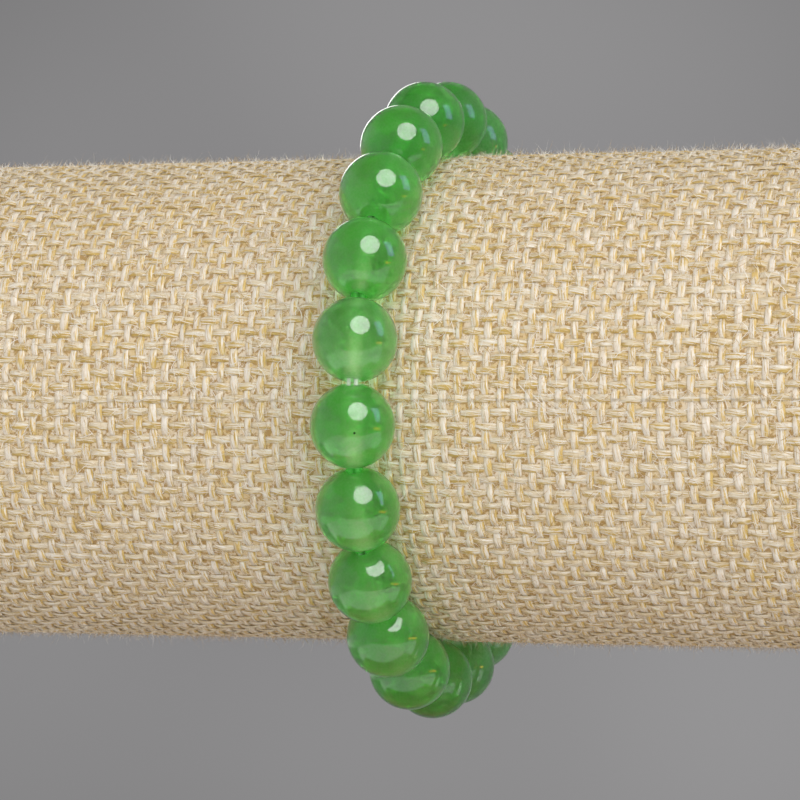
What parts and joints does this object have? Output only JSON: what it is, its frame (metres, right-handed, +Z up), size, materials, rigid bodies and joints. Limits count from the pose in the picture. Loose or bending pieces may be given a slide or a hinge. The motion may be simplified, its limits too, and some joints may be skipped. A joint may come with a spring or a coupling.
{
  "type": "beaded stretch bracelet on a burlap-covered display bar stand",
  "caption": "Elastic bracelet of round translucent green stone beads, shown on a burlap-covered round display bar with a plain post and foot.",
  "frame": {"origin": "on the table, in the foot plate's underside, straight below the centre of the bracelet", "axes": "+X along the display bar towards its post, -Y towards the viewer, +Z up"},
  "size_m": [0.12, 0.07, 0.1082],
  "materials": {
    "bead_stone": "gloss",
    "elastic": "satin",
    "burlap": "matte",
    "core_wood": "matte",
    "stand_wood": "satin"
  },
  "bodies": {
    "root": {"bead_01": "bead_stone", "bead_02": "bead_stone", "bead_03": "bead_stone", "bead_04": "bead_stone", "bead_05": "bead_stone", "bead_06": "bead_stone", "bead_07": "bead_stone", "bead_08": "bead_stone", "bead_09": "bead_stone", "bead_10": "bead_stone", "bead_11": "bead_stone", "bead_12": "bead_stone", "bead_13": "bead_stone", "bead_14": "bead_stone", "bead_15": "bead_stone", "bead_16": "bead_stone", "bead_17": "bead_stone", "bead_18": "bead_stone", "bead_19": "bead_stone", "bead_20": "bead_stone", "bead_21": "bead_stone", "bead_22": "bead_stone", "elastic_cord": "elastic", "burlap_sleeve": "burlap", "burlap_end_left": "burlap", "burlap_end_right": "burlap", "bar_core": "core_wood", "stand_post": "stand_wood"}
  },
  "joints": []
}
